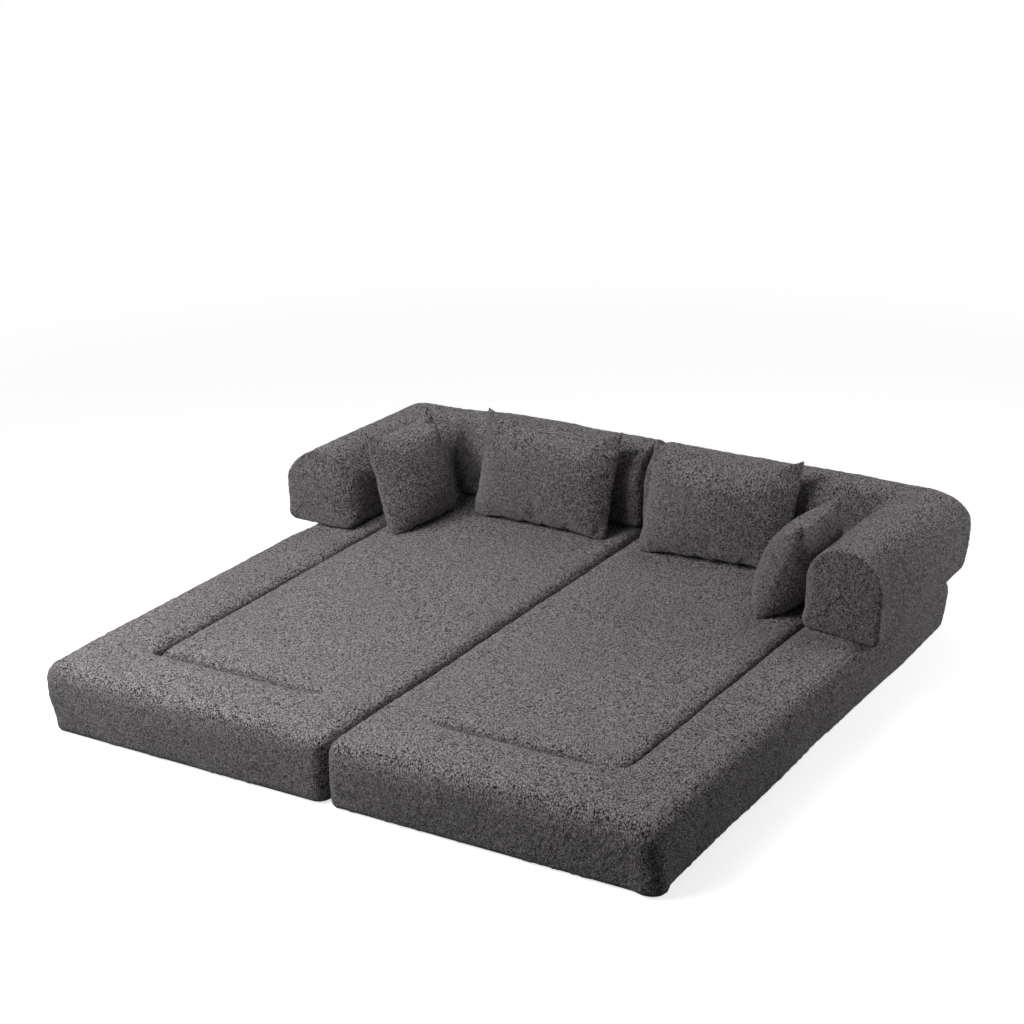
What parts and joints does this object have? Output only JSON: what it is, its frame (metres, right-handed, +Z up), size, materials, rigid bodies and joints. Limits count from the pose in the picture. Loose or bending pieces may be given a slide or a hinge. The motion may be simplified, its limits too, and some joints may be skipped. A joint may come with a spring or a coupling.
{
  "type": "modular sofa bed",
  "caption": "Low upholstered sofa bed of two mirrored floor modules, with L-shaped arm and back bolsters and loose pillows.",
  "frame": {"origin": "on the floor under the middle of the whole set", "axes": "+X to the right across both modules, +Y to the back bolster, +Z up"},
  "size_m": [2.19, 2.142, 0.5568],
  "materials": {
    "upholstery": "heathered dark grey pile fabric",
    "anti_slip_cloth": "black anti-slip cloth",
    "firm_foam": "cut polyurethane foam",
    "soft_foam": "soft cut polyurethane foam",
    "fibre_filling": "white fibre filling",
    "hook_and_loop": "black hook-and-loop tape",
    "zip_tape": "nylon coil zip",
    "zip_metal": "lacquered metal"
  },
  "bodies": {
    "left_module": {"left_base_cover": "upholstery", "left_bottom_cloth": "anti_slip_cloth", "left_seat_core": "firm_foam", "left_seat_topper": "soft_foam", "left_side_border_foam": "firm_foam", "left_front_border_foam": "firm_foam", "left_base_zip": "zip_tape", "left_base_loop_strips": "hook_and_loop", "left_join_patches": "hook_and_loop"},
    "left_bolster": {"left_bolster_cover": "upholstery", "left_arm_foam": "firm_foam", "left_back_foam": "firm_foam", "left_bolster_hook_strips": "hook_and_loop", "left_bolster_zip": "zip_tape"},
    "left_base_zip_slider": {"left_base_zip_slider": "zip_metal"},
    "left_bolster_zip_slider": {"left_bolster_zip_slider": "zip_metal"},
    "right_module": {"right_base_cover": "upholstery", "right_bottom_cloth": "anti_slip_cloth", "right_seat_core": "firm_foam", "right_seat_topper": "soft_foam", "right_side_border_foam": "firm_foam", "right_front_border_foam": "firm_foam", "right_base_zip": "zip_tape", "right_base_loop_strips": "hook_and_loop", "right_join_patches": "hook_and_loop"},
    "right_bolster": {"right_bolster_cover": "upholstery", "right_arm_foam": "firm_foam", "right_back_foam": "firm_foam", "right_bolster_hook_strips": "hook_and_loop", "right_bolster_zip": "zip_tape"},
    "right_base_zip_slider": {"right_base_zip_slider": "zip_metal"},
    "right_bolster_zip_slider": {"right_bolster_zip_slider": "zip_metal"},
    "left_arm_pillow": {"left_arm_pillow_cover": "upholstery", "left_arm_pillow_filling": "fibre_filling", "left_arm_pillow_zip": "zip_tape"},
    "left_arm_pillow_zip_slider": {"left_arm_pillow_zip_slider": "zip_metal"},
    "left_back_pillow": {"left_back_pillow_cover": "upholstery", "left_back_pillow_filling": "fibre_filling", "left_back_pillow_zip": "zip_tape"},
    "left_back_pillow_zip_slider": {"left_back_pillow_zip_slider": "zip_metal"},
    "right_back_pillow": {"right_back_pillow_cover": "upholstery", "right_back_pillow_filling": "fibre_filling", "right_back_pillow_zip": "zip_tape"},
    "right_back_pillow_zip_slider": {"right_back_pillow_zip_slider": "zip_metal"},
    "right_arm_pillow": {"right_arm_pillow_cover": "upholstery", "right_arm_pillow_filling": "fibre_filling", "right_arm_pillow_zip": "zip_tape"},
    "right_arm_pillow_zip_slider": {"right_arm_pillow_zip_slider": "zip_metal"}
  },
  "joints": [
    {"name": "right_module_slide", "type": "slide", "parent": "left_module", "child": "right_module", "axis": [1, 0, 0], "range_m": [0, 1]},
    {"name": "left_bolster_lift", "type": "slide", "parent": "left_module", "child": "left_bolster", "axis": [0, 0, 1], "range_m": [0, 0.5]},
    {"name": "right_bolster_lift", "type": "slide", "parent": "right_module", "child": "right_bolster", "axis": [0, 0, 1], "range_m": [0, 0.5]},
    {"name": "left_arm_pillow_lift", "type": "slide", "parent": "left_bolster", "child": "left_arm_pillow", "axis": [0, 0, 1], "range_m": [0, 0.45]},
    {"name": "left_back_pillow_lift", "type": "slide", "parent": "left_bolster", "child": "left_back_pillow", "axis": [0, 0, 1], "range_m": [0, 0.45]},
    {"name": "right_back_pillow_lift", "type": "slide", "parent": "right_bolster", "child": "right_back_pillow", "axis": [0, 0, 1], "range_m": [0, 0.45]},
    {"name": "right_arm_pillow_lift", "type": "slide", "parent": "right_bolster", "child": "right_arm_pillow", "axis": [0, 0, 1], "range_m": [0, 0.45]},
    {"name": "left_base_zip_run", "type": "slide", "parent": "left_module", "child": "left_base_zip_slider", "axis": [1, 0, 0], "range_m": [0, 0.786]},
    {"name": "left_bolster_zip_run", "type": "slide", "parent": "left_bolster", "child": "left_bolster_zip_slider", "axis": [1, 0, 0], "range_m": [0, 0.686]},
    {"name": "right_base_zip_run", "type": "slide", "parent": "right_module", "child": "right_base_zip_slider", "axis": [-1, 0, 0], "range_m": [0, 0.786]},
    {"name": "right_bolster_zip_run", "type": "slide", "parent": "right_bolster", "child": "right_bolster_zip_slider", "axis": [-1, 0, 0], "range_m": [0, 0.686]},
    {"name": "left_arm_pillow_zip_run", "type": "slide", "parent": "left_arm_pillow", "child": "left_arm_pillow_zip_slider", "axis": [0.1219, 0.9925, 0], "range_m": [0, 0.138]},
    {"name": "left_back_pillow_zip_run", "type": "slide", "parent": "left_back_pillow", "child": "left_back_pillow_zip_slider", "axis": [0.9999, 0.0122, 0], "range_m": [0, 0.226]},
    {"name": "right_back_pillow_zip_run", "type": "slide", "parent": "right_back_pillow", "child": "right_back_pillow_zip_slider", "axis": [0.9994, 0.0349, 0], "range_m": [0, 0.226]},
    {"name": "right_arm_pillow_zip_run", "type": "slide", "parent": "right_arm_pillow", "child": "right_arm_pillow_zip_slider", "axis": [0, -1, 0], "range_m": [0, 0.138]}
  ]
}
